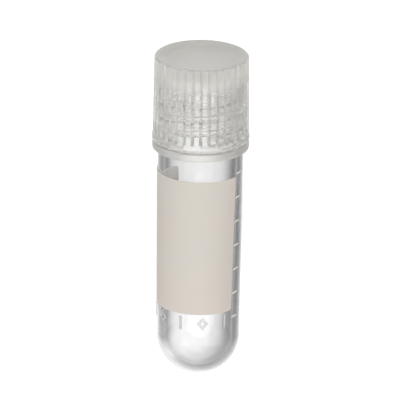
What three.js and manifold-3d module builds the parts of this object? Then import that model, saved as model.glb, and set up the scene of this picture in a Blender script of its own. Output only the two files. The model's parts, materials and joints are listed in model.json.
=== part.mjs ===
// A 2 mL cryogenic storage vial: a round-bottomed polypropylene tube with an outside thread,
// a ribbed screw cap with a sealing washer, a printed writing panel and printed graduations.
//
// The vial is built upright, with its bottom tip at the origin, its axis along +Z and the middle
// of its writing panel facing -Y. It is then laid on its side with the panel up, as it comes to
// rest on a table: the round bottom can't stand, so it lies on its cap collar and a raised mark.

import * as THREE from 'three';
import { mergeVertices } from 'three/addons/utils/BufferGeometryUtils.js';
import Module from 'manifold-3d';

// Sizes are in millimetres and angles in degrees.

// Tube, outside
const tubeLength = 46.4;            // bottom tip to open rim
const tubeBottomRadius = 6.1;       // where the round bottom ends
const tubeTopRadius = 6.25;         // under the flange; the difference is the mould's draft
const neckLength = 10;              // upper face of the flange to the open rim
const neckInset = 0.6;              // by which the neck is slimmer than the tube's top
const flangeHeight = 1.15;
const flangeInset = 0.05;           // by which the flange stands back from the cap's collar
const flangeRound = 0.2;            // rounding of the flange's two edges
const rimChamfer = 0.25;

// Tube, inside
const wallThickness = 1.1;          // where the round bottom ends
const bottomThickness = 1.1;
const neckWall = 0.5;               // at the foot of the thread

// Thread, shared by the neck and the cap
const threadPitch = 2.2;
const threadDepth = 0.45;
const threadFootWidth = 0.95;
const threadCrestWidth = 0.4;
const threadRunOut = 40;            // turn over which a thread's end sinks into its wall
const threadBury = 0.09;            // how far its crest then lies inside the wall
const threadFit = 0.25;             // radial gap between a crest and the wall that it faces
const neckThreadStart = 2;          // above the flange
const neckThreadTurns = 2.75;
const capThreadTurns = 3;           // starts half a pitch below the neck's thread

// Cap
const capLift = 0.15;               // gap between the flange and the cap's lower edge
const capWall = 0.5;                // from the bore to the tops of the ribs, at the top
const capDraft = 0.14;              // by which the ribs stand further out at the collar
const collarStep = 0.11;            // by which the collar stands out from the ribs
const collarHeight = 1.08;
const collarShoulder = 0.43;        // height of its sloping shoulder under the ribs
const collarRound = 0.25;           // rounding of the collar's lower edge
const capEdgeRound = 0.3;           // rounding of the rim around the top
const capPlateThickness = 1.34;
const dishRim = 0.4;                // from the dish's mouth to the tops of the ribs
const dishSlope = 1.38;             // width of the slope between the dish's mouth and floor
const dishDepth = 0.5;
const ribCount = 36;
const grooveWidth = 0.34;
const grooveDepth = 0.22;
const capLeadIn = 0.3;              // chamfer inside the cap's lower edge

// Sealing washer, held in the cap
const sealThickness = 0.9;
const sealGap = 0.04;               // to the tube's rim, and to the cap above it
const sealSideGap = 0.12;           // to the cap's wall
const sealOverhang = 0.85;          // by which its hole is smaller than the tube's mouth

// Printed writing panel and graduations
const inkThickness = 0.06;
const inkGap = 0.03;                // keeps the printed film clear of the faceted wall
const panelBottom = 11.2;
const panelDrop = 3.35;             // bare tube between the panel and the flange
const panelLeftEnd = -146;          // angles round the tube from the panel's middle
const panelRightEnd = 55;
const graduationCount = 7;
const graduationFirst = 10;         // height of the lowest line
const graduationDrop = 2.93;        // from the flange to the highest line
const graduationWidth = 0.3;
const graduationStart = 57;
const graduationEnd = 71;

// Raised marks moulded round the tube under the panel, clear of the graduations
const markCount = 8;
const markFirstAngle = -180;        // opposite the panel's middle
const markSpacing = 31;             // angle from one mark to the next
const markMiddle = 9.8;             // height of the middle of the ring of marks
const markHeight = 2.1;
const markWidth = 1.7;
const markStroke = 0.42;
const markRelief = 0.12;
const markRoot = 0.4;               // how deep a mark reaches into the wall

// Fineness of the faceted solids
const roundSteps = 60;
const threadStepsPerTurn = 36;
const bottomSteps = 7;
const edgeSteps = 3;
const weldDistance = 1e-5;          // corners closer than this are one corner
const cutMargin = 1;                // how far a cutting shape runs past what it cuts
const cutSkin = 0.02;               // how far it stays off a surface that it only follows

// Sizes that follow from the ones above
const flangeTop = tubeLength - neckLength;
const flangeBottom = flangeTop - flangeHeight;
const neckRadius = tubeTopRadius - neckInset;
const boreBottomRadius = tubeBottomRadius - wallThickness;
const boreTopRadius = neckRadius - neckWall;
const capBottom = flangeTop + capLift;
const collarTop = capBottom + collarHeight;
const sealBottom = tubeLength + sealGap;
const capCeiling = sealBottom + sealThickness + sealGap;
const dishFloor = capCeiling + capPlateThickness;
const capTop = dishFloor + dishDepth;
const capInnerRadius = neckRadius + threadDepth + threadFit;
const capTopRadius = capInnerRadius + capWall;
const capFootRadius = capTopRadius + capDraft;
const collarRadius = capFootRadius + collarStep;
const flangeRadius = collarRadius - flangeInset;
const dishMouthRadius = capTopRadius - dishRim;
const dishRadius = dishMouthRadius - dishSlope;
const sealHoleRadius = boreTopRadius - sealOverhang;
const panelTop = flangeBottom - panelDrop;
const graduationRange = flangeBottom - graduationDrop - graduationFirst;
const graduationSpacing = graduationRange / (graduationCount - 1);
const tubeDraft = (tubeTopRadius - tubeBottomRadius) / (flangeBottom - tubeBottomRadius);

const wasm = await Module();
wasm.setup();

// ---------------------------------------------------------------- solids and meshes

// Outside radius of the drafted tube at a height.
function tubeRadiusAt(height) {
  return tubeBottomRadius + tubeDraft * (height - tubeBottomRadius);
}

// Turns a closed three.js geometry into a solid that can be joined and cut.
function solidFrom(geometry) {
  const bare = new THREE.BufferGeometry();
  bare.setAttribute('position', geometry.getAttribute('position').clone());
  if (geometry.index) {
    bare.setIndex(geometry.index.clone());
  }
  const merged = mergeVertices(bare, weldDistance);
  const corners = merged.index.array;
  const triangles = [];
  for (let i = 0; i < corners.length; i += 3) {
    const [a, b, c] = [corners[i], corners[i + 1], corners[i + 2]];
    if (a !== b && b !== c && c !== a) {
      triangles.push(a, b, c);
    }
  }
  return new wasm.Manifold(new wasm.Mesh({
    numProp: 3,
    vertProperties: new Float32Array(merged.getAttribute('position').array),
    triVerts: new Uint32Array(triangles),
  }));
}

function geometryFrom(solid) {
  const cut = solid.getMesh();
  const geometry = new THREE.BufferGeometry();
  geometry.setAttribute('position', new THREE.BufferAttribute(cut.vertProperties, 3));
  geometry.setIndex(new THREE.BufferAttribute(cut.triVerts, 1));
  geometry.computeVertexNormals();
  return geometry;
}

function namedMesh(name, solid, material) {
  const mesh = new THREE.Mesh(geometryFrom(solid), material);
  mesh.name = name;
  return mesh;
}

// A solid turned about the Z axis. The outline holds [radius, height] pairs, in order from the
// axis up the outside and back to the axis. Its facets are centred on the panel's direction.
function turnedSolid(outline) {
  const points = outline.map(([radius, height]) => new THREE.Vector2(radius, height));
  const geometry = new THREE.LatheGeometry(points, roundSteps, Math.PI / roundSteps);
  geometry.rotateX(Math.PI / 2);
  return solidFrom(geometry);
}

// Points of a quarter round from one angle to another, in degrees from the outward direction.
function roundPoints(centreRadius, centreHeight, radius, from, to, steps) {
  const points = [];
  for (let i = 0; i <= steps; i += 1) {
    const angle = THREE.MathUtils.degToRad(THREE.MathUtils.lerp(from, to, i / steps));
    points.push([centreRadius + radius * Math.cos(angle), centreHeight + radius * Math.sin(angle)]);
  }
  return points;
}

// ---------------------------------------------------------------- thread

// Centre line of a right-handed thread ridge. Both ends run out: the line moves into the wall
// that carries the ridge, by enough to sink the ridge's crest.
class ThreadLine extends THREE.Curve {
  constructor(wallRadius, inward, bottom, turns) {
    super();
    this.wallRadius = wallRadius;
    this.inward = inward;
    this.bottom = bottom;
    this.turns = turns;
  }

  angleAt(t) {
    return t * this.turns * 2 * Math.PI;
  }

  radiusAt(t) {
    const share = threadRunOut / (360 * this.turns);
    const rise = Math.min(1, t / share, (1 - t) / share);
    const sunk = (1 - rise) * (threadDepth + threadBury);
    return this.inward ? this.wallRadius + sunk : this.wallRadius - sunk;
  }

  getPoint(t, target = new THREE.Vector3()) {
    const angle = this.angleAt(t);
    const radius = this.radiusAt(t);
    const height = this.bottom + t * this.turns * threadPitch;
    return target.set(radius * Math.sin(angle), -radius * Math.cos(angle), height);
  }

  // The ridge's section stays upright and square to the axis all the way round.
  computeFrenetFrames(segments) {
    const frames = { tangents: [], normals: [], binormals: [] };
    for (let i = 0; i <= segments; i += 1) {
      const t = this.getUtoTmapping(i / segments);
      const angle = this.angleAt(t);
      frames.tangents.push(new THREE.Vector3(Math.cos(angle), Math.sin(angle), 0));
      frames.normals.push(new THREE.Vector3(Math.sin(angle), -Math.cos(angle), 0));
      frames.binormals.push(new THREE.Vector3(0, 0, -1));
    }
    return frames;
  }
}

// Blunt V section of the ridge: x runs outwards from the thread line, y along the axis.
function ridgeSection(inward) {
  const root = threadDepth / 2;
  const side = inward ? -1 : 1;
  const foot = threadFootWidth / 2;
  const crest = threadCrestWidth / 2;
  const section = new THREE.Shape();
  section.moveTo(-side * root, -foot);
  section.lineTo(0, -foot);
  section.lineTo(side * threadDepth, -crest);
  section.lineTo(side * threadDepth, crest);
  section.lineTo(0, foot);
  section.lineTo(-side * root, foot);
  section.closePath();
  return section;
}

function threadRidge(wallRadius, inward, bottom, turns) {
  const line = new ThreadLine(wallRadius, inward, bottom, turns);
  const geometry = new THREE.ExtrudeGeometry(ridgeSection(inward), {
    steps: Math.round(turns * threadStepsPerTurn),
    extrudePath: line,
  });
  return solidFrom(geometry);
}

// ---------------------------------------------------------------- tube

// Outside of the tube without thread or marks, closed over the top.
function tubeOutside() {
  const edge = flangeRadius - flangeRound;
  return turnedSolid([
    ...roundPoints(0, tubeBottomRadius, tubeBottomRadius, -90, 0, bottomSteps),
    [tubeTopRadius, flangeBottom],
    ...roundPoints(edge, flangeBottom + flangeRound, flangeRound, -90, 0, edgeSteps),
    ...roundPoints(edge, flangeTop - flangeRound, flangeRound, 0, 90, edgeSteps),
    [neckRadius, flangeTop],
    [neckRadius, tubeLength - rimChamfer],
    [neckRadius - rimChamfer, tubeLength],
    [0, tubeLength],
  ]);
}

// The bore, run on past the rim so that it opens the tube.
function tubeBore() {
  const floor = bottomThickness + boreBottomRadius;
  const past = tubeLength + cutMargin;
  const draft = (boreTopRadius - boreBottomRadius) / (tubeLength - floor);
  return turnedSolid([
    ...roundPoints(0, floor, boreBottomRadius, -90, 0, bottomSteps),
    [boreBottomRadius + draft * (past - floor), past],
    [0, past],
  ]);
}

function lozenge(width, height) {
  const corners = [[0, -height / 2], [width / 2, 0], [0, height / 2], [-width / 2, 0]];
  return corners.map(([x, y]) => new THREE.Vector2(x, y));
}

function lozengeMark() {
  const mark = new THREE.Shape(lozenge(markWidth, markHeight));
  const slope = Math.hypot(markWidth, markHeight);
  const inset = 2 * markStroke * slope;
  const innerWidth = markWidth - inset / markHeight;
  const innerHeight = markHeight - inset / markWidth;
  mark.holes.push(new THREE.Path(lozenge(innerWidth, innerHeight).reverse()));
  return mark;
}

function barMark() {
  const half = markStroke / 2;
  const reach = markHeight / 2;
  const corners = [[-half, -reach], [half, -reach], [half, reach], [-half, reach]];
  return new THREE.Shape(corners.map(([x, y]) => new THREE.Vector2(x, y)));
}

// One raised mark, from inside the wall to its relief above the surface.
function raisedMark(shape, angle) {
  const geometry = new THREE.ExtrudeGeometry(shape, {
    depth: markRoot + markRelief,
    bevelEnabled: false,
  });
  geometry.translate(0, 0, tubeRadiusAt(markMiddle) - markRoot);
  geometry.rotateX(Math.PI / 2);
  geometry.translate(0, 0, markMiddle);
  geometry.rotateZ(THREE.MathUtils.degToRad(angle));
  return solidFrom(geometry);
}

function vialTube(material) {
  let tube = tubeOutside();
  tube = tube.add(threadRidge(neckRadius, false, flangeTop + neckThreadStart, neckThreadTurns));
  for (let i = 0; i < markCount; i += 1) {
    const shape = i % 2 === 0 ? lozengeMark() : barMark();
    tube = tube.add(raisedMark(shape, markFirstAngle + i * markSpacing));
  }
  return namedMesh('vial_tube', tube.subtract(tubeBore()), material);
}

// ---------------------------------------------------------------- printed panel

// Film of ink on the tube between two heights and two angles. It follows the tube's draft.
function inkPatch(bottom, top, fromAngle, toAngle) {
  const inside = (height) => tubeRadiusAt(height) + inkGap;
  const outside = (height) => inside(height) + inkThickness;
  const ring = turnedSolid([
    [inside(bottom), bottom],
    [outside(bottom), bottom],
    [outside(top), top],
    [inside(top), top],
    [inside(bottom), bottom],
  ]);
  const reach = 2 * tubeTopRadius;
  const start = THREE.MathUtils.degToRad(fromAngle - 90);
  const end = THREE.MathUtils.degToRad(toAngle - 90);
  const wedge = new THREE.Shape();
  wedge.moveTo(0, 0);
  wedge.lineTo(reach * Math.cos(start), reach * Math.sin(start));
  wedge.absarc(0, 0, reach, start, end, false);
  wedge.closePath();
  const slice = new THREE.ExtrudeGeometry(wedge, {
    depth: top - bottom + 2 * cutMargin,
    bevelEnabled: false,
  });
  slice.translate(0, 0, bottom - cutMargin);
  return ring.intersect(solidFrom(slice));
}

function graduationMesh(index, material) {
  const middle = graduationFirst + index * graduationSpacing;
  const bottom = middle - graduationWidth / 2;
  const patch = inkPatch(bottom, bottom + graduationWidth, graduationStart, graduationEnd);
  return namedMesh(`graduation_${index + 1}`, patch, material);
}

// ---------------------------------------------------------------- cap

// Outline of the ribbed wall: 36 broad ribs with a narrow V groove between each two. A groove
// lies on the panel's direction.
function ribbedOutline(radius) {
  const points = [];
  const halfGroove = grooveWidth / 2 / radius;
  const step = 2 * Math.PI / ribCount;
  const corner = (reach, angle) => new THREE.Vector2(reach * Math.cos(angle), reach * Math.sin(angle));
  for (let i = 0; i < ribCount; i += 1) {
    const middle = i * step - Math.PI / 2;
    points.push(corner(radius, middle - halfGroove));
    points.push(corner(radius - grooveDepth, middle));
    points.push(corner(radius, middle + halfGroove));
    points.push(corner(radius, middle + step / 2));
  }
  return new THREE.Shape(points);
}

// Ribbed wall from the collar to the top, drawn in a little towards the top.
function ribbedWall() {
  const height = capTop - collarTop;
  const geometry = new THREE.ExtrudeGeometry(ribbedOutline(capFootRadius), {
    depth: height,
    bevelEnabled: false,
  });
  const position = geometry.getAttribute('position');
  for (let i = 0; i < position.count; i += 1) {
    const share = position.getZ(i) / height;
    const scale = THREE.MathUtils.lerp(capFootRadius, capTopRadius, share) / capFootRadius;
    position.setXYZ(i, position.getX(i) * scale, position.getY(i) * scale, position.getZ(i));
  }
  geometry.translate(0, 0, collarTop);
  return solidFrom(geometry);
}

// Envelope of the cap above the collar: its rounded edge and its dished top.
function capEnvelope() {
  const edgeRadius = capTopRadius - capEdgeRound;
  return turnedSolid([
    [0, capBottom],
    [collarRadius + cutMargin, capBottom],
    [capFootRadius + cutMargin, collarTop],
    [capTopRadius + cutSkin, capTop - capEdgeRound],
    ...roundPoints(edgeRadius, capTop - capEdgeRound, capEdgeRound, 0, 90, edgeSteps),
    [dishMouthRadius, capTop],
    [dishRadius, dishFloor],
    [0, dishFloor],
  ]);
}

// Smooth collar at the cap's foot, rounded below and drawn in to the ribs by its shoulder.
function capCollar() {
  return turnedSolid([
    [0, capBottom],
    ...roundPoints(collarRadius - collarRound, capBottom + collarRound, collarRound, -90, 0, edgeSteps),
    [collarRadius, collarTop - collarShoulder],
    [capFootRadius, collarTop],
    [capFootRadius - grooveDepth, collarTop + grooveDepth],
    [0, collarTop + grooveDepth],
  ]);
}

function capCavity() {
  return turnedSolid([
    [0, capBottom - cutMargin],
    [capInnerRadius + capLeadIn + cutMargin, capBottom - cutMargin],
    [capInnerRadius, capBottom + capLeadIn],
    [capInnerRadius, capCeiling],
    [0, capCeiling],
  ]);
}

function screwCap(material) {
  const start = flangeTop + neckThreadStart - threadPitch / 2;
  const ridge = threadRidge(capInnerRadius, true, start, capThreadTurns);
  const outside = ribbedWall().intersect(capEnvelope()).add(capCollar());
  return namedMesh('screw_cap', outside.subtract(capCavity().subtract(ridge)), material);
}

function sealRing(material) {
  const outer = capInnerRadius - sealSideGap;
  const top = sealBottom + sealThickness;
  const ring = turnedSolid([
    [sealHoleRadius, sealBottom],
    [outer, sealBottom],
    [outer, top],
    [sealHoleRadius, top],
    [sealHoleRadius, sealBottom],
  ]);
  return namedMesh('seal_ring', ring, material);
}

// ---------------------------------------------------------------- materials

const clearPolypropylene = new THREE.MeshStandardMaterial({
  color: 0xeef0ee,
  roughness: 0.12,
  metalness: 0,
  transparent: true,
  opacity: 0.45,
});

const milkyPolypropylene = new THREE.MeshStandardMaterial({
  color: 0xdad8d2,
  roughness: 0.35,
  metalness: 0,
  transparent: true,
  opacity: 0.85,
});

const siliconeRubber = new THREE.MeshStandardMaterial({
  color: 0xe6e4de,
  roughness: 0.55,
  metalness: 0,
});

const whiteInk = new THREE.MeshStandardMaterial({
  color: 0xd9d2c8,
  roughness: 0.6,
  metalness: 0,
});

// ---------------------------------------------------------------- the vial

const vial = new THREE.Group();
vial.add(vialTube(clearPolypropylene));
vial.add(screwCap(milkyPolypropylene));
vial.add(sealRing(siliconeRubber));
const panel = inkPatch(panelBottom, panelTop, panelLeftEnd, panelRightEnd);
vial.add(namedMesh('writing_panel', panel, whiteInk));
for (let i = 0; i < graduationCount; i += 1) {
  vial.add(graduationMesh(i, whiteInk));
}

// Lays the vial down with its panel up. It leans on the lower edge of the collar and on the
// lower corner of the mark opposite the panel.
const collarReach = collarRadius * Math.cos(Math.PI / roundSteps);
const contactRise = collarReach - (tubeRadiusAt(markMiddle) + markRelief);
const contactSpan = capBottom + collarRound - (markMiddle - markHeight / 2);
const lean = Math.atan2(contactRise, contactSpan);
vial.rotation.x = lean - Math.PI / 2;

// The frame's origin is on the table, under the middle of the vial.
const restingVial = new THREE.Group();
restingVial.add(vial);
restingVial.updateMatrixWorld(true);
const bounds = new THREE.Box3().setFromObject(restingVial, true);
vial.position.y -= (bounds.min.y + bounds.max.y) / 2;
vial.position.z -= bounds.min.z;

export default restingVial;
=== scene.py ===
import json
import math

import bpy
from mathutils import Matrix, Vector


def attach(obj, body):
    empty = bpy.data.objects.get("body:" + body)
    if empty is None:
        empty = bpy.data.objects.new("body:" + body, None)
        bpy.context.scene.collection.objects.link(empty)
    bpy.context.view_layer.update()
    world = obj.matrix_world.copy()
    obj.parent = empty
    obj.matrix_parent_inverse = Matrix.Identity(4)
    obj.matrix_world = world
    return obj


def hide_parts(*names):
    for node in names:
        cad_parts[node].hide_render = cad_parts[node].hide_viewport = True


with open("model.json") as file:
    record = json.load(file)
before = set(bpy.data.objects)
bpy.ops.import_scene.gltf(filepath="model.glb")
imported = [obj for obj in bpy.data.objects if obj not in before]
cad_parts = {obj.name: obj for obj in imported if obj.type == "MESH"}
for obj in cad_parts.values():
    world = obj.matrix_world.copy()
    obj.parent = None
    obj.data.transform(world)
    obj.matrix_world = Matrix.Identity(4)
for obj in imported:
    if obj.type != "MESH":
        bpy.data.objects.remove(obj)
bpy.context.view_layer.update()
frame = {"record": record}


# ---------------------------------------------------------------- tube
# One injection moulding in clear polypropylene: round bottom, slightly drafted wall, a flange
# under the cap, and a neck with a right-handed outside thread. The bore is open at the rim.

MM = 0.001                          # sizes are in millimetres, angles in degrees
TUBE_LENGTH = 46.4
BOTTOM_RADIUS = 6.1
TOP_RADIUS = 6.25
BOTTOM_THICKNESS = 1.1
BORE_BOTTOM_RADIUS = 5.0
BORE_TOP_RADIUS = 5.15
TUBE_SIDES = 128
BOTTOM_STEPS = 24

FLANGE = (35.25, 36.4)              # heights of its two faces
FLANGE_RADIUS = 7.05
FLANGE_ROUND = 0.2
FLANGE_STEPS = 5
FLANGE_ROOT = ((0, -0.1), (0.05, 0))    # steps out and up that ease the corner under it
NECK_RADIUS = 5.65
NECK_ROOT = 0.1                     # chamfer in the corner over the flange
NECK_ROW = 0.12                     # between the rows of points that carry the thread
RIM_ROUND = 0.25
RIM_ROUND_START = 30
RIM_STEPS = 3
MOUTH_CHAMFER = 0.08

PITCH = 2.2
THREAD_DEPTH = 0.45
THREAD_FOOT = 0.95                  # width of the ridge at its foot
THREAD_CREST = 0.4
THREAD_FROM_FLANGE = 2.0
THREAD_START = FLANGE[1] + THREAD_FROM_FLANGE
THREAD_TURNS = 2.75
THREAD_MARGIN = 1.0                 # reach of a ridge past its middle, with room to spare
RUN_OUT = 40                        # angle over which a thread's end dies away

POLYPROPYLENE_IOR = 1.49
MOULD_WAVE = 3                      # length of the waves in the mould's polish
MOULD_WAVE_DEPTH = 0.004
FLANGE_CLEARNESS = 0.77             # share of the light that the thick plastic lets through

WELD = 0.002                        # points closer than this become one
NEAR = 0.01                         # a point this close to a face is on it

# The vial is made upright, with its bottom tip at the origin and its panel facing -Y, and is
# then laid on its side, panel up. The dish in the cap's top says where its axis is.
DISH_FLOOR = 48.72                  # height of the dish's floor over the bottom tip
dish = next(m for m in frame["record"]["mounts"] if m["name"] == "cap_top")
axis = Vector(dish["axis"]).normalized()
across = Vector((1, 0, 0))
tip = Vector(dish["pos_m"]) - DISH_FLOOR * MM * axis
laid = Matrix((across, axis.cross(across), axis)).transposed().to_4x4()
laid.translation = tip


def pick(piece):
    """Selects one piece and nothing else."""
    bpy.ops.object.select_all(action="DESELECT")
    piece.select_set(True)
    bpy.context.view_layer.objects.active = piece


def lay_down(piece):
    """Puts an upright piece where it lies, with its place in its mesh."""
    pick(piece)
    piece.matrix_world = laid @ piece.matrix_world
    bpy.ops.object.transform_apply(location=True, rotation=True, scale=True)


def smooth(piece, angle=40):
    """Shades a piece smooth, up to the angle at which two faces meet in an edge."""
    pick(piece)
    bpy.ops.object.shade_smooth_by_angle(angle=math.radians(angle))


def rounding(centre_radius, centre_height, radius, start, end, steps):
    """Points of a round in an outline, by angle from the outward direction."""
    points = []
    for i in range(steps + 1):
        angle = math.radians(start + (end - start) * i / steps)
        points.append((centre_radius + radius * math.cos(angle),
                       centre_height + radius * math.sin(angle)))
    return points


def straight_wall(radius_from, height_from, radius_to, height_to, row):
    """Points of a straight wall in an outline, no further apart than a row."""
    count = max(1, math.ceil(abs(height_to - height_from) / row))
    return [(radius_from + (radius_to - radius_from) * i / count,
             height_from + (height_to - height_from) * i / count) for i in range(count + 1)]


def eased_corner(radius, height, offsets):
    """Points of a corner in an outline, each so far out and up from it."""
    return [(radius + out, height + up) for out, up in offsets]


def turned(name, outline, sides):
    """Spins an outline of (radius, height) points about the vial's axis."""
    bpy.ops.object.select_all(action="DESELECT")
    bpy.ops.mesh.primitive_plane_add(size=MM)
    piece = bpy.context.object
    piece.name = name
    bpy.ops.object.mode_set(mode="EDIT")
    bpy.ops.mesh.merge(type="CENTER")
    here = (0.0, 0.0)
    for i, there in enumerate(outline):
        step = ((there[0] - here[0]) * MM, 0, (there[1] - here[1]) * MM)
        if i == 0:
            bpy.ops.transform.translate(value=step)
        else:
            bpy.ops.mesh.extrude_vertices_move(TRANSFORM_OT_translate={"value": step})
        here = there
    bpy.ops.mesh.select_all(action="SELECT")
    bpy.ops.mesh.spin(steps=sides, angle=2 * math.pi, center=(0, 0, 0), axis=(0, 0, 1))
    bpy.ops.mesh.select_all(action="SELECT")
    bpy.ops.mesh.remove_doubles(threshold=WELD * MM)
    bpy.ops.mesh.normals_make_consistent(inside=False)
    bpy.ops.object.mode_set(mode="OBJECT")
    return piece


def ridge_height(turn, height, start, turns):
    """Height of a thread's ridge over its wall, at an angle from the front."""
    best = 0.0
    for lap in range(math.ceil(turns) + 1):
        along = turn + 360 * lap
        if 0 <= along <= 360 * turns:
            aside = abs(height - start - PITCH * along / 360)
            slope = (THREAD_FOOT / 2 - aside) / (THREAD_FOOT / 2 - THREAD_CREST / 2)
            run_out = min(1, along / RUN_OUT, (360 * turns - along) / RUN_OUT)
            best = max(best, THREAD_DEPTH * min(1, max(0, slope)) * run_out)
    return best


def cut_thread(piece, wall_radius, side, start, turns):
    """Raises a thread on a wall of the piece: side is 1 for outwards and -1 for inwards."""
    lowest = start - THREAD_MARGIN
    highest = start + turns * PITCH + THREAD_MARGIN
    for vertex in piece.data.vertices:
        radius = math.hypot(vertex.co.x, vertex.co.y)
        height = vertex.co.z / MM
        if abs(radius / MM - wall_radius) < NEAR and lowest < height < highest:
            turn = math.degrees(math.atan2(vertex.co.x, -vertex.co.y)) % 360
            raised = radius + side * MM * ridge_height(turn, height, start, turns)
            vertex.co.x *= raised / radius
            vertex.co.y *= raised / radius


bore_floor = BOTTOM_THICKNESS + BORE_BOTTOM_RADIUS
flange_edge = FLANGE_RADIUS - FLANGE_ROUND
rim_edge = TUBE_LENGTH - RIM_ROUND
tube = turned("tube_wall", [
    *rounding(0, BOTTOM_RADIUS, BOTTOM_RADIUS, -90, 0, BOTTOM_STEPS),
    *eased_corner(TOP_RADIUS, FLANGE[0], FLANGE_ROOT),
    *rounding(flange_edge, FLANGE[0] + FLANGE_ROUND, FLANGE_ROUND, -90, 0, FLANGE_STEPS),
    *rounding(flange_edge, FLANGE[1] - FLANGE_ROUND, FLANGE_ROUND, 0, 90, FLANGE_STEPS),
    (NECK_RADIUS + NECK_ROOT, FLANGE[1]),
    *straight_wall(NECK_RADIUS, FLANGE[1] + NECK_ROOT, NECK_RADIUS, rim_edge, NECK_ROW),
    *rounding(NECK_RADIUS - RIM_ROUND, rim_edge, RIM_ROUND, RIM_ROUND_START, 90, RIM_STEPS),
    (BORE_TOP_RADIUS + MOUTH_CHAMFER, TUBE_LENGTH),
    (BORE_TOP_RADIUS, TUBE_LENGTH - MOUTH_CHAMFER),
    *rounding(0, bore_floor, BORE_BOTTOM_RADIUS, 0, -90, BOTTOM_STEPS),
], TUBE_SIDES)
cut_thread(tube, NECK_RADIUS, 1, THREAD_START, THREAD_TURNS)
for face in tube.data.polygons:
    stands_out = math.hypot(face.center.x, face.center.y) > TOP_RADIUS * MM
    if stands_out and FLANGE[0] * MM < face.center.z < (FLANGE[1] + NEAR) * MM:
        face.material_index = 1
smooth(tube)
lay_down(tube)


def linear(hexcode):
    """An sRGB hex colour as linear red, green, blue and alpha."""
    parts = [int(hexcode[i:i + 2], 16) / 255 for i in (1, 3, 5)]
    return [p / 12.92 if p <= 0.04045 else ((p + 0.055) / 1.055) ** 2.4 for p in parts] + [1]


def fit(tree, new, settings=(), **links):
    """Sets or links a node's sockets and properties, by number or by name, with _ for a space."""
    for key, value in {**links, **dict(settings)}.items():
        socket = new.inputs.get(key.replace("_", " ")) if isinstance(key, str) else new.inputs[key]
        if isinstance(value, bpy.types.NodeSocket):
            tree.links.new(value, socket)
        elif socket is not None:
            socket.default_value = value
        else:
            setattr(new, key, value)
    return new


def node(tree, kind, settings=(), **links):
    """Adds a node with its settings and links."""
    return fit(tree, tree.nodes.new(kind), settings, **links)


def new_material(name):
    """A new material, with its node tree and its principled shader."""
    material = bpy.data.materials.new(name)
    material.use_nodes = True
    return material, material.node_tree, material.node_tree.nodes["Principled BSDF"]


def pass_light(tree, surface, tint):
    """Lets the lamp's light through the plastic's wall, so that what is behind it is lit."""
    open_wall = node(tree, "ShaderNodeBsdfTransparent", Color=linear(tint))
    shadow = node(tree, "ShaderNodeLightPath").outputs["Is Shadow Ray"]
    either = node(tree, "ShaderNodeMixShader", {0: shadow, 1: surface, 2: open_wall.outputs[0]})
    fit(tree, tree.nodes["Material Output"], Surface=either.outputs[0])


def clear_polypropylene():
    """Injection moulded polypropylene, random copolymer: clear and glossy, and it bends what is
    seen through it very slightly, because the mould's polish is a little wavy."""
    material, tree, shader = new_material("clear_polypropylene")
    place = node(tree, "ShaderNodeTexCoord").outputs["Object"]
    waves = node(tree, "ShaderNodeTexNoise", Vector=place, Scale=1 / (MOULD_WAVE * MM), Detail=1.0)
    bump = node(tree, "ShaderNodeBump", Height=waves.outputs[0], Strength=0.15,
                Distance=MOULD_WAVE_DEPTH * MM)
    fit(tree, shader, Base_Color=linear("#FFFFFF"), Transmission_Weight=1.0,
        IOR=POLYPROPYLENE_IOR, Roughness=0.04, Normal=bump.outputs[0])
    pass_light(tree, shader.outputs[0], "#FDFDFD")
    return material


clear = clear_polypropylene()


def frosted_polypropylene(name, tint, clearness):
    """The tube's plastic where its mould is spark-eroded, or where it is thick, which blurs and
    dims what is seen through it."""
    material = clear.copy()
    material.name = name
    tree = material.node_tree
    fit(tree, tree.nodes["Principled BSDF"], Base_Color=linear(tint), Roughness=0.45,
        Transmission_Weight=clearness)
    return material


tube.data.materials.append(clear)
tube.data.materials.append(
    frosted_polypropylene("thick_polypropylene", "#F6F4EE", FLANGE_CLEARNESS))
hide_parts("vial_tube")
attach(tube, "tube")


# ---------------------------------------------------------------- raised marks
# A ring of small marks moulded into the tube under the panel, open lozenges and upright bars by
# turns. They stand a tenth of a millimetre out of the wall and are of the tube's own plastic.

MARK_HEIGHT = 2.1
MARK_WIDTH = 1.7
MARK_STROKE = 0.42
MARK_RELIEF = 0.12
MARK_ROUND = 0.05
MARK_ROUND_STEPS = 2
MARK_CUTS = 4                       # cuts in a lozenge's sides, to let them follow the wall
MARK_MIDDLE = 9.8
MARK_LIFT = 0.004                   # keeps a mark's back off the wall's faces
MARKS = 8
MARK_FIRST = -180                   # angle of the first mark, under the tube as it lies
MARK_STEP = 31                      # angle from one mark to the next


def tube_radius(height):
    """Outside radius of the drafted wall."""
    share = (height - BOTTOM_RADIUS) / (FLANGE[0] - BOTTOM_RADIUS)
    return BOTTOM_RADIUS + (TOP_RADIUS - BOTTOM_RADIUS) * share


def raise_plate(name, flat):
    """Gives a flat outline, all selected in edit mode, its thickness and rounded edges."""
    flat.name = name
    bpy.ops.mesh.extrude_region_move(TRANSFORM_OT_translate={"value": (0, 0, MARK_RELIEF * MM)})
    bpy.ops.mesh.select_all(action="SELECT")
    bpy.ops.mesh.normals_make_consistent(inside=False)
    bpy.ops.object.mode_set(mode="OBJECT")
    edge = flat.modifiers.new("edge", "BEVEL")
    edge.width = MARK_ROUND * MM
    edge.segments = MARK_ROUND_STEPS
    edge.limit_method = "ANGLE"
    bpy.ops.object.modifier_apply(modifier="edge")
    return flat


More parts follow.
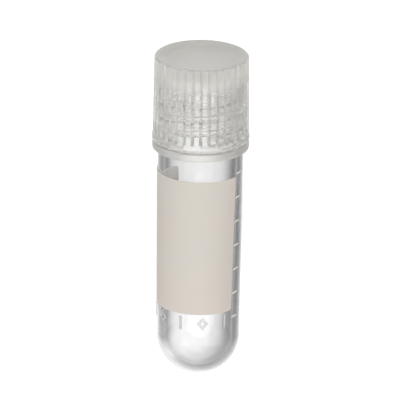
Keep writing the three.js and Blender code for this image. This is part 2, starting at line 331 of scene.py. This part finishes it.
def lozenge_plate():
    """A flat open lozenge, in front of the tube."""
    bpy.ops.object.select_all(action="DESELECT")
    bpy.ops.mesh.primitive_circle_add(vertices=4, radius=MM / 2, fill_type="NGON",
                                      location=(0, MARK_MIDDLE * MM, 0))
    plate = bpy.context.object
    plate.scale = (MARK_WIDTH, MARK_HEIGHT, 1)
    bpy.ops.object.transform_apply(location=True, rotation=True, scale=True)
    bpy.ops.object.mode_set(mode="EDIT")
    bpy.ops.mesh.inset(thickness=MARK_STROKE * MM, depth=0)
    bpy.ops.mesh.delete(type="FACE")
    bpy.ops.mesh.select_all(action="SELECT")
    bpy.ops.mesh.subdivide(number_cuts=MARK_CUTS)
    return raise_plate("lozenge_plate", plate)


def bar_plate():
    """A flat upright bar, in front of the tube."""
    bpy.ops.object.select_all(action="DESELECT")
    bpy.ops.mesh.primitive_plane_add(size=MM, location=(0, MARK_MIDDLE * MM, 0))
    plate = bpy.context.object
    plate.scale = (MARK_STROKE, MARK_HEIGHT, 1)
    bpy.ops.object.transform_apply(location=True, rotation=True, scale=True)
    bpy.ops.object.mode_set(mode="EDIT")
    bpy.ops.mesh.select_all(action="SELECT")
    return raise_plate("bar_plate", plate)


def copied(piece, name):
    """A copy of a piece, with its own name and its own mesh."""
    twin = piece.copy()
    twin.data = piece.data.copy()
    twin.name = name
    bpy.context.collection.objects.link(twin)
    return twin


def wrap_mark(mark, turn):
    """Bends a flat mark round the tube: x goes round, y goes up and z stands off the wall."""
    for vertex in mark.data.vertices:
        height = vertex.co.y
        wall = tube_radius(height / MM) * MM
        reach = wall + MARK_LIFT * MM + vertex.co.z
        angle = math.radians(turn) + vertex.co.x / wall
        vertex.co = Vector((reach * math.sin(angle), -reach * math.cos(angle), height))


frosted = frosted_polypropylene("frosted_polypropylene", "#FFFFFF", 1.0)
plates = (lozenge_plate(), bar_plate())
for i in range(MARKS):
    mark = copied(plates[i % 2], f"raised_mark_{i + 1}")
    wrap_mark(mark, MARK_FIRST + i * MARK_STEP)
    smooth(mark)
    lay_down(mark)
    mark.data.materials.append(frosted)
    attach(mark, "tube")
for plate in plates:
    bpy.data.objects.remove(plate)


# ---------------------------------------------------------------- writing panel
# A field of off-white ink, pad printed round the tube to take a marker pen. The film is matt and
# slightly grainy and lets a little light through. The pad came down a little askew, so the
# print's sides lean on the tube.

PANEL_HEIGHTS = (11.2, 31.9)
PANEL_ANGLES = (-146, 55)
PANEL_CORNER = 0.35
PANEL_COLUMNS = 96
PRINT_LEAN = 0.23                   # round the tube, for each millimetre down from the panel's top
INK_THICKNESS = 0.05                # thicker than real ink, so that its edge shows
INK_GAP = 0.012                     # keeps the film's back off the wall's faces
INK_CORNER_STEPS = 5
INK_CLOUD = 9                       # width of the cloudy patches that the pad leaves
INK_GRAIN = 0.25                    # coarser than the real grain, so that it shows
INK_GRAIN_DEPTH = 0.01
INK_LETS_THROUGH = 0.25             # share of the light that goes on through the film
INWARD = -0.5                       # cosine, past which a face looks in towards the axis


def flat_film(name, heights, angles, corner, columns):
    """A flat film of ink, as wide as the tube's wall between two angles, and its width."""
    width = math.radians(angles[1] - angles[0]) * tube_radius(sum(heights) / 2) * MM
    bpy.ops.object.select_all(action="DESELECT")
    bpy.ops.mesh.primitive_plane_add(size=1)
    film = bpy.context.object
    film.name = name
    film.scale = (width, (heights[1] - heights[0]) * MM, 1)
    bpy.ops.object.transform_apply(location=True, rotation=True, scale=True)
    bpy.ops.object.mode_set(mode="EDIT")
    bpy.ops.mesh.select_all(action="SELECT")
    bpy.ops.mesh.bevel(offset=corner * MM, segments=INK_CORNER_STEPS, affect="VERTICES")
    for i in range(1, columns):
        bpy.ops.mesh.select_all(action="SELECT")
        bpy.ops.mesh.bisect(plane_co=((i / columns - 0.5) * width, 0, 0), plane_no=(1, 0, 0))
    bpy.ops.object.mode_set(mode="OBJECT")
    solid = film.modifiers.new("film", "SOLIDIFY")
    solid.thickness = INK_THICKNESS * MM
    solid.offset = 1
    bpy.ops.object.modifier_apply(modifier="film")
    return film, width


def wrap_ink(film, width, middle, angles):
    """Bends a flat film round the tube, with its middle at a height and its ends at the two
    angles, less the lean."""
    for vertex in film.data.vertices:
        share = vertex.co.x / width + 0.5
        height = vertex.co.y + middle * MM
        lean = PRINT_LEAN * (PANEL_HEIGHTS[1] - height / MM)
        angle = math.radians(angles[0] + (angles[1] - angles[0]) * share - lean)
        reach = (tube_radius(height / MM) + INK_GAP) * MM + vertex.co.z
        vertex.co = Vector((reach * math.sin(angle), -reach * math.cos(angle), height))


def printing_ink(name, first, second):
    """Pad-printing ink: matt, with a fine grain, and the pad leaves it faintly cloudy."""
    material, tree, shader = new_material(name)
    place = node(tree, "ShaderNodeTexCoord").outputs["Object"]
    cloud = node(tree, "ShaderNodeTexNoise", Vector=place, Scale=1 / (INK_CLOUD * MM), Detail=2.0)
    tint = node(tree, "ShaderNodeMix", {0: cloud.outputs[0], 6: linear(first), 7: linear(second)},
                data_type="RGBA")
    grain = node(tree, "ShaderNodeTexNoise", Vector=place, Scale=1 / (INK_GRAIN * MM), Detail=2.0)
    bump = node(tree, "ShaderNodeBump", Height=grain.outputs[0], Strength=0.3,
                Distance=INK_GRAIN_DEPTH * MM)
    fit(tree, shader, Base_Color=tint.outputs[2], IOR=1.5, Roughness=0.6, Normal=bump.outputs[0])
    glow = node(tree, "ShaderNodeBsdfTranslucent", Color=linear("#E6DFD6"))
    both = node(tree, "ShaderNodeMixShader",
                {0: INK_LETS_THROUGH, 1: shader.outputs[0], 2: glow.outputs[0]})
    fit(tree, tree.nodes["Material Output"], Surface=both.outputs[0])
    return material


panel, panel_width = flat_film("panel_film", PANEL_HEIGHTS, PANEL_ANGLES, PANEL_CORNER,
                               PANEL_COLUMNS)
wrap_ink(panel, panel_width, sum(PANEL_HEIGHTS) / 2, PANEL_ANGLES)
smooth(panel)
lay_down(panel)
# The film's inner side, seen through the wall, gets a whiter copy of the ink: painted light, in
# place of the light that comes through the film.
panel.data.materials.append(printing_ink("panel_ink", "#D8D8CF", "#E3D5CE"))
panel.data.materials.append(printing_ink("panel_ink_inner_painted_light", "#F4F2EE", "#F7F5F1"))
# The faces that look in towards the axis take that whiter copy: painted light on the inner side.
for face in panel.data.polygons:
    outward = face.center - tip - (face.center - tip).dot(axis) * axis
    if face.normal.dot(outward.normalized()) < INWARD:
        face.material_index = 1
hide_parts("writing_panel")
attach(panel, "tube")


# ---------------------------------------------------------------- graduations
# Seven short lines of white ink beside the panel, one for each quarter millilitre or so, printed
# with the panel.

GRADUATIONS = 7
GRADUATION_FIRST = 10.0
GRADUATION_SPACING = 3.72
GRADUATION_WIDTH = 0.3
GRADUATION_ANGLES = (56.6, 68)
GRADUATION_CORNER = 0.08
GRADUATION_COLUMNS = 16

first_heights = (GRADUATION_FIRST - GRADUATION_WIDTH / 2, GRADUATION_FIRST + GRADUATION_WIDTH / 2)
flat_line, line_length = flat_film("flat_line", first_heights, GRADUATION_ANGLES,
                                   GRADUATION_CORNER, GRADUATION_COLUMNS)
white = printing_ink("line_ink", "#ECEAE4", "#F2F0EB")
for i in range(GRADUATIONS):
    line = copied(flat_line, f"graduation_line_{i + 1}")
    wrap_ink(line, line_length, GRADUATION_FIRST + i * GRADUATION_SPACING, GRADUATION_ANGLES)
    smooth(line)
    lay_down(line)
    line.data.materials.append(white)
    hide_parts(f"graduation_{i + 1}")
    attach(line, "tube")
bpy.data.objects.remove(flat_line)


# ---------------------------------------------------------------- cap
# One injection moulding in natural polypropylene, milky where it is thick: 36 broad ribs with a
# fine groove between each two, a smooth collar, a dished top and an inside thread. It screws on
# over the neck, down to the flange.

CAP_GAP = 0.15                      # between the cap and the flange
CAP_BOTTOM = FLANGE[1] + CAP_GAP
CAP_TOP = 49.22
CAP_PLATE = 1.34                    # thickness under the dish
CAP_CEILING = DISH_FLOOR - CAP_PLATE
CAP_CLEARANCE = 0.25                # between the neck's thread and the cap's bore
CAP_BORE = NECK_RADIUS + THREAD_DEPTH + CAP_CLEARANCE
CAP_BORE_ROW = 0.15                 # between the rows of points that carry the thread
CAP_BORE_EASE = 0.1                 # chamfer in the corner under the ceiling
CAP_LEAD_IN = 0.3
CAP_THREAD_TURNS = 3
CAP_EDGE_STEPS = 6

COLLAR_RADIUS = 7.1
COLLAR_HEIGHT = 1.08
COLLAR_TOP = CAP_BOTTOM + COLLAR_HEIGHT
COLLAR_SHOULDER = 0.43
COLLAR_ROUND = 0.25
COLLAR_EDGE = ((0, -0.04), (-0.015, 0))    # steps out and up, as are the next four
RIBS = 36
COLUMNS_PER_RIB = 10
RIB_FOOT_RADIUS = 6.99
RIB_FOOT = ((0.01, -0.03), (0, 0.02), (-0.002, 0.15), (-0.004, 0.3))
RIB_START = (-0.01, 0.8)            # where the straight ribs start
RIB_TOP_RADIUS = 6.85
RIB_ROW = 1.0
GROOVE_WIDTH = 0.48
GROOVE_DEPTH = 0.3
GROOVE_FADE = 0.3                   # height over which a groove deepens at its foot
CAP_EDGE_ROUND = 0.3
CAP_EDGE_START = 15
DISH_MOUTH_RADIUS = 6.45
DISH_MOUTH = ((0.05, 0), (-0.03, -0.02))
DISH_RADIUS = 5.07
DISH_FOOT = ((0.12, 0.05), (-0.05, 0))
DISH_MIDDLE_RADIUS = 2.5            # a ring of points halfway in over the dish's floor

SATIN_GRAIN = 0.6                   # coarser than the mould's real texture, so that it shows
SATIN_DEPTH = 0.01
MILK_FROM = -2.4                    # the milkiness grows between these heights over the ceiling
MILK_TO = 0.5
THIN_MILK = 0.22                    # share of the light that the thin wall scatters
THICK_MILK = 0.6                    # and that the thick top scatters
SENT_BACK = 0.5                     # share of that light which comes back out
SENT_BACK_WITH_MILK = 0.6           # and how much that share grows with the milkiness

collar_edge = COLLAR_RADIUS - COLLAR_ROUND
rib_top_edge = RIB_TOP_RADIUS - CAP_EDGE_ROUND
cap = turned("cap_moulding", [
    (0, CAP_CEILING),
    (CAP_BORE - CAP_BORE_EASE, CAP_CEILING),
    *straight_wall(CAP_BORE, CAP_CEILING - CAP_BORE_EASE, CAP_BORE, CAP_BOTTOM + CAP_LEAD_IN,
                   CAP_BORE_ROW),
    (CAP_BORE + CAP_LEAD_IN, CAP_BOTTOM),
    *rounding(collar_edge, CAP_BOTTOM + COLLAR_ROUND, COLLAR_ROUND, -90, 0, CAP_EDGE_STEPS),
    *eased_corner(COLLAR_RADIUS, COLLAR_TOP - COLLAR_SHOULDER, COLLAR_EDGE),
    *eased_corner(RIB_FOOT_RADIUS, COLLAR_TOP, RIB_FOOT),
    *straight_wall(RIB_FOOT_RADIUS + RIB_START[0], COLLAR_TOP + RIB_START[1], RIB_TOP_RADIUS,
                   CAP_TOP - CAP_EDGE_ROUND, RIB_ROW),
    *rounding(rib_top_edge, CAP_TOP - CAP_EDGE_ROUND, CAP_EDGE_ROUND, CAP_EDGE_START, 90,
              CAP_EDGE_STEPS),
    *eased_corner(DISH_MOUTH_RADIUS, CAP_TOP, DISH_MOUTH),
    *eased_corner(DISH_RADIUS, DISH_FLOOR, DISH_FOOT),
    (DISH_MIDDLE_RADIUS, DISH_FLOOR),
    (0, DISH_FLOOR),
], RIBS * COLUMNS_PER_RIB)


def land_radius(height):
    """Radius over the ribs, at a height on the cap."""
    share = (height - COLLAR_TOP) / (CAP_TOP - COLLAR_TOP)
    return RIB_FOOT_RADIUS + (RIB_TOP_RADIUS - RIB_FOOT_RADIUS) * share


def cut_grooves(piece):
    """Presses the V grooves between the ribs into the wall, from the collar up through the rim."""
    step = 360 / RIBS
    half = math.degrees(GROOVE_WIDTH / 2 / RIB_FOOT_RADIUS)
    for vertex in piece.data.vertices:
        height = vertex.co.z / MM
        radius = math.hypot(vertex.co.x, vertex.co.y) / MM
        if radius > DISH_MOUTH_RADIUS and height > COLLAR_TOP:
            turn = math.degrees(math.atan2(vertex.co.x, -vertex.co.y))
            aside = abs((turn + step / 2) % step - step / 2)
            fade = min(1, (height - COLLAR_TOP) / GROOVE_FADE)
            depth = GROOVE_DEPTH * max(0, 1 - aside / half) * fade
            cut = min(radius, land_radius(height) - depth) / radius
            vertex.co.x *= cut
            vertex.co.y *= cut


cut_grooves(cap)
cut_thread(cap, CAP_BORE, -1, THREAD_START - PITCH / 2, CAP_THREAD_TURNS)
smooth(cap, angle=30)
lay_down(cap)


def milky_polypropylene():
    """Injection moulded natural polypropylene: shapes show through it, veiled by its own
    cloudiness, most of all where it is thick, and its surface is a fine satin."""
    material, tree, shader = new_material("milky_polypropylene")
    place = node(tree, "ShaderNodeTexCoord").outputs["Object"]
    satin = node(tree, "ShaderNodeTexNoise", Vector=place, Scale=1 / (SATIN_GRAIN * MM), Detail=2.0)
    bump = node(tree, "ShaderNodeBump", Height=satin.outputs[0], Strength=0.02,
                Distance=SATIN_DEPTH * MM)
    fit(tree, shader, Base_Color=linear("#FFFFFF"), Transmission_Weight=1.0,
        IOR=POLYPROPYLENE_IOR, Roughness=0.045, Normal=bump.outputs[0])
    ceiling = CAP_CEILING * MM + tip.dot(axis)
    along = node(tree, "ShaderNodeVectorMath", {0: place, 1: axis}, operation="DOT_PRODUCT")
    milkiness = node(tree, "ShaderNodeMapRange", Value=along.outputs["Value"],
                     From_Min=ceiling + MILK_FROM * MM, From_Max=ceiling + MILK_TO * MM,
                     To_Min=THIN_MILK, To_Max=THICK_MILK)
    sent_back = node(tree, "ShaderNodeMath",
                     {0: milkiness.outputs[0], 1: SENT_BACK_WITH_MILK, 2: SENT_BACK},
                     operation="MULTIPLY_ADD")
    onward = node(tree, "ShaderNodeBsdfTranslucent", Color=linear("#DEDDD9"))
    back = node(tree, "ShaderNodeBsdfDiffuse", Color=linear("#DBDAD6"))
    cloud = node(tree, "ShaderNodeMixShader",
                 {0: sent_back.outputs[0], 1: onward.outputs[0], 2: back.outputs[0]})
    milk = node(tree, "ShaderNodeMixShader",
                {0: milkiness.outputs[0], 1: shader.outputs[0], 2: cloud.outputs[0]})
    pass_light(tree, milk.outputs[0], "#FAF9F8")
    return material


cap.data.materials.append(milky_polypropylene())
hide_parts("screw_cap")
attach(cap, "cap")


# ---------------------------------------------------------------- sealing washer
# A flat ring of moulded silicone rubber, pressed up under the cap's ceiling, where its own fit
# holds it. It seals on the tube's rim.

SEAL_GAP = 0.04                     # from the tube's rim, when the cap is on
SEAL_THICKNESS = 0.9
SEAL_HOLE_RADIUS = 4.3
SEAL_CLEARANCE = 0.12               # between the washer and the cap's bore
SEAL_RADIUS = CAP_BORE - SEAL_CLEARANCE
SEAL_ROUND = 0.1
SEAL_EDGE_STEPS = 4
SEAL_SIDES = 128
SEAL_BLOOM = 0.8                    # width of the patches in its bloom
SEAL_CLOUD = 0.12                   # share of the light that the rubber scatters onward

low_edge = TUBE_LENGTH + SEAL_GAP + SEAL_ROUND
high_edge = TUBE_LENGTH + SEAL_GAP + SEAL_THICKNESS - SEAL_ROUND
hole_edge = SEAL_HOLE_RADIUS + SEAL_ROUND
outer_edge = SEAL_RADIUS - SEAL_ROUND
seal = turned("seal_washer", [
    *rounding(hole_edge, low_edge, SEAL_ROUND, 180, 270, SEAL_EDGE_STEPS),
    *rounding(outer_edge, low_edge, SEAL_ROUND, -90, 0, SEAL_EDGE_STEPS),
    *rounding(outer_edge, high_edge, SEAL_ROUND, 0, 90, SEAL_EDGE_STEPS),
    *rounding(hole_edge, high_edge, SEAL_ROUND, 90, 180, SEAL_EDGE_STEPS),
    (SEAL_HOLE_RADIUS, low_edge),
], SEAL_SIDES)
smooth(seal)
lay_down(seal)


def silicone_rubber():
    """Moulded silicone rubber: pale, a little translucent, with a dull bloom."""
    material, tree, shader = new_material("silicone_rubber")
    place = node(tree, "ShaderNodeTexCoord").outputs["Object"]
    bloom = node(tree, "ShaderNodeTexNoise", Vector=place, Scale=1 / (SEAL_BLOOM * MM), Detail=3.0)
    tint = node(tree, "ShaderNodeMix",
                {0: bloom.outputs[0], 6: linear("#EDECE8"), 7: linear("#F8F7F5")},
                data_type="RGBA")
    fit(tree, shader, Base_Color=tint.outputs[2], Transmission_Weight=0.9, IOR=1.41,
        Roughness=0.35)
    glow = node(tree, "ShaderNodeBsdfTranslucent", Color=linear("#EAE8E2"))
    soft = node(tree, "ShaderNodeMixShader",
                {0: SEAL_CLOUD, 1: shader.outputs[0], 2: glow.outputs[0]})
    pass_light(tree, soft.outputs[0], "#F2F1EE")
    return material


seal.data.materials.append(silicone_rubber())
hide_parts("seal_ring")
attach(seal, "washer")


# ---------------------------------------------------------------- table
# A plain white laminate table top, wide enough to run out of every view. It keeps the vial's soft
# shadow. What the plastic bends into view is the studio, so the table hides from those rays.

TABLE_RADIUS = 3.0                  # in metres
TABLE_SIDES = 96
TABLE_DROP = 0.02 * MM
TABLE_GLOW = 0.42                   # lifts the table to white, away from the shadow

bpy.ops.object.select_all(action="DESELECT")
bpy.ops.mesh.primitive_circle_add(vertices=TABLE_SIDES, radius=TABLE_RADIUS, fill_type="NGON",
                                  location=(0, 0, -TABLE_DROP))
table = bpy.context.object
table.name = "table_top"
bpy.ops.object.transform_apply(location=True, rotation=True, scale=True)
table.visible_transmission = False


def seen_directly(tree):
    """1 for what the eye or a gloss sees, and 0 for what only lights the vial."""
    path = node(tree, "ShaderNodeLightPath")
    seen = node(tree, "ShaderNodeMath",
                {0: path.outputs["Is Camera Ray"], 1: path.outputs["Is Glossy Ray"]},
                operation="MAXIMUM")
    return seen.outputs[0]


def white_laminate():
    """Matt white laminate, lit up to plain white away from the vial's shadow."""
    material, tree, shader = new_material("white_laminate")
    fit(tree, shader, Base_Color=linear("#E2E2E2"), Roughness=0.9, Specular_IOR_Level=0.0)
    lift = node(tree, "ShaderNodeMath", {0: seen_directly(tree), 1: TABLE_GLOW},
                operation="MULTIPLY")
    glow = node(tree, "ShaderNodeEmission", Color=linear("#FFFFFF"), Strength=lift.outputs[0])
    both = node(tree, "ShaderNodeAddShader", {0: shader.outputs[0], 1: glow.outputs[0]})
    fit(tree, tree.nodes["Material Output"], Surface=both.outputs[0])
    return material


table.data.materials.append(white_laminate())


# ---------------------------------------------------------------- studio
# An even white studio with one wide soft box. In what the clear plastic bends into view, dark
# cards stand to the left and right of the vial, which draws the walls of the tube.

AMBIENT = "#C2C2C2"                 # what lights the vial from all sides
# Cards and room: how pale each is, and where, from 0 on one side of the vial to 1 on the other.
SIDE_CARDS = ((0.0, "#FFFFFF"), (0.06, "#E0E0E0"), (0.14, "#707070"), (0.23, "#606060"),
              (0.30, "#585858"), (0.36, "#6C6C6C"), (0.39, "#949494"), (0.42, "#C8C8C8"),
              (0.45, "#E4E4E4"), (0.482, "#F8F8F8"), (0.535, "#F8F8F8"), (0.555, "#E4E4E4"),
              (0.575, "#C4C4C4"), (0.592, "#A0A0A0"), (0.61, "#7C7C7C"), (0.63, "#5C5C5C"),
              (0.66, "#484848"), (0.78, "#404040"), (0.86, "#505050"), (0.94, "#E0E0E0"),
              (1.0, "#FFFFFF"))
SIDE_CARDS_SLANT = 0.12
CARD_REACH = ((0.10, "#686868"), (0.18, "#7C7C7C"), (0.25, "#989898"), (0.34, "#E8E8E8"),
              (0.42, "#FFFFFF"), (0.72, "#FFFFFF"), (0.85, "#000000"))
LOW_CARD = ((0.0, "#B0B0B0"), (0.10, "#B8B8B8"), (0.20, "#CCCCCC"), (0.26, "#E4E4E4"),
            (0.30, "#F8F8F8"), (0.33, "#FFFFFF"), (0.37, "#FFFFFF"), (0.43, "#F0F0F0"))
LOW_CARD_SLANT = 0.6
ROOM = ((0.0, "#FFFFFF"), (0.27, "#FFFFFF"), (0.36, "#E6E6E6"), (0.50, "#E6E6E6"),
        (0.56, "#FFFFFF"))
BOUNCES = 24                        # enough for light to pass all the walls of cap and tube


def shades(tree, position, stops):
    """A ramp of shades over a part of the direction, which runs from -1 to 1."""
    place = node(tree, "ShaderNodeMapRange", From_Min=-1.0, Value=position)
    ramp = node(tree, "ShaderNodeValToRGB", Fac=place.outputs[0])
    ramp.color_ramp.elements.remove(ramp.color_ramp.elements[1])
    for i, (where, shade) in enumerate(stops):
        stop = ramp.color_ramp.elements.new(where) if i else ramp.color_ramp.elements[0]
        stop.position = where
        stop.color = linear(shade)
    return ramp.outputs[0]


def studio_world():
    """White to the eye, even light on the vial, and cards in what the clear plastic bends."""
    world = bpy.data.worlds.new("studio")
    world.use_nodes = True
    tree = world.node_tree
    white_wall = linear("#FFFFFF")
    direction = node(tree, "ShaderNodeTexCoord").outputs["Generated"]
    parts = node(tree, "ShaderNodeSeparateXYZ", Vector=direction)
    x, y, z = parts.outputs["X"], parts.outputs["Y"], parts.outputs["Z"]

    # The side cards are full beside the vial, fade beyond its bottom and end behind its cap.
    beside = node(tree, "ShaderNodeMath", {0: y, 1: -SIDE_CARDS_SLANT, 2: x},
                  operation="MULTIPLY_ADD")
    sides = node(tree, "ShaderNodeMix",
                 {0: shades(tree, y, CARD_REACH), 6: white_wall,
                  7: shades(tree, beside.outputs[0], SIDE_CARDS)}, data_type="RGBA")
    # A grey card lies beyond the vial's bottom, and the room is a little darker near the table.
    beyond = node(tree, "ShaderNodeMath", {0: x, 1: -LOW_CARD_SLANT, 2: y},
                  operation="MULTIPLY_ADD")
    low = node(tree, "ShaderNodeMix",
               {0: 1.0, 6: sides.outputs[2], 7: shades(tree, beyond.outputs[0], LOW_CARD)},
               data_type="RGBA", blend_type="MULTIPLY")
    cards = node(tree, "ShaderNodeMix", {0: 1.0, 6: low.outputs[2], 7: shades(tree, z, ROOM)},
                 data_type="RGBA", blend_type="MULTIPLY")

    # The cards show only in light that went through the plastic and met nothing matt.
    open_view = node(tree, "ShaderNodeMix",
                     {0: seen_directly(tree), 6: linear(AMBIENT), 7: white_wall},
                     data_type="RGBA")
    path = node(tree, "ShaderNodeLightPath")
    straight = node(tree, "ShaderNodeMath", {0: path.outputs["Diffuse Depth"], 1: 0.5},
                    operation="LESS_THAN")
    bent = node(tree, "ShaderNodeMath",
                {0: path.outputs["Is Transmission Ray"], 1: straight.outputs[0]},
                operation="MULTIPLY")
    view = node(tree, "ShaderNodeMix",
                {0: bent.outputs[0], 6: open_view.outputs[2], 7: cards.outputs[2]},
                data_type="RGBA")
    fit(tree, tree.nodes["Background"], Color=view.outputs[2])
    return world


bpy.context.scene.world = studio_world()
bpy.context.scene.cycles.max_bounces = BOUNCES
bpy.context.scene.cycles.transmission_bounces = BOUNCES

# The camera looks at the panel from a little above the vial's middle, as if the vial stood up,
# so that the cap's top shows.
CAMERA_RISE = 21.3                  # from the plane across the vial's axis
CAMERA_ROLL = 0.774
CAMERA_DISTANCE = 822 * MM
CAMERA_AIM = (0.018 * MM, 0, 26.8 * MM)
CAMERA_SENSOR = 36
CAMERA_LENS = 507.8
CAMERA_CLIP = (0.01, 20)            # in metres

rise = math.radians(CAMERA_RISE)
toward_camera = Vector((0, -math.cos(rise), math.sin(rise)))
camera_up = Vector((0, math.sin(rise), math.cos(rise)))
stand = Matrix((across, camera_up, toward_camera)).transposed().to_4x4()
stand.translation = Vector(CAMERA_AIM) + CAMERA_DISTANCE * toward_camera
camera = bpy.data.objects.new("camera", bpy.data.cameras.new("camera"))
bpy.context.collection.objects.link(camera)
camera.matrix_world = laid @ stand @ Matrix.Rotation(math.radians(CAMERA_ROLL), 4, "Z")
camera.data.sensor_width = CAMERA_SENSOR
camera.data.lens = CAMERA_LENS
camera.data.clip_start, camera.data.clip_end = CAMERA_CLIP
bpy.context.scene.camera = camera

# One wide soft box over the vial. It lights the plastic, and shows in no gloss.
LAMP_SIZE = 1.2                     # in metres, as its place is
LAMP_PLACE = Vector((-0.05, -0.12, 0.7))
LAMP_POWER = 5.9                    # in watts

lamp = bpy.data.objects.new("soft_box", bpy.data.lights.new("soft_box", "AREA"))
bpy.context.collection.objects.link(lamp)
lamp.data.shape = "RECTANGLE"
lamp.data.size = LAMP_SIZE
lamp.data.size_y = LAMP_SIZE
lamp.data.energy = LAMP_POWER
lamp.visible_glossy = False
lamp.location = LAMP_PLACE
lamp.rotation_mode = "QUATERNION"
lamp.rotation_quaternion = LAMP_PLACE.to_track_quat("Z", "Y")

bpy.context.scene.view_settings.view_transform = "Standard"
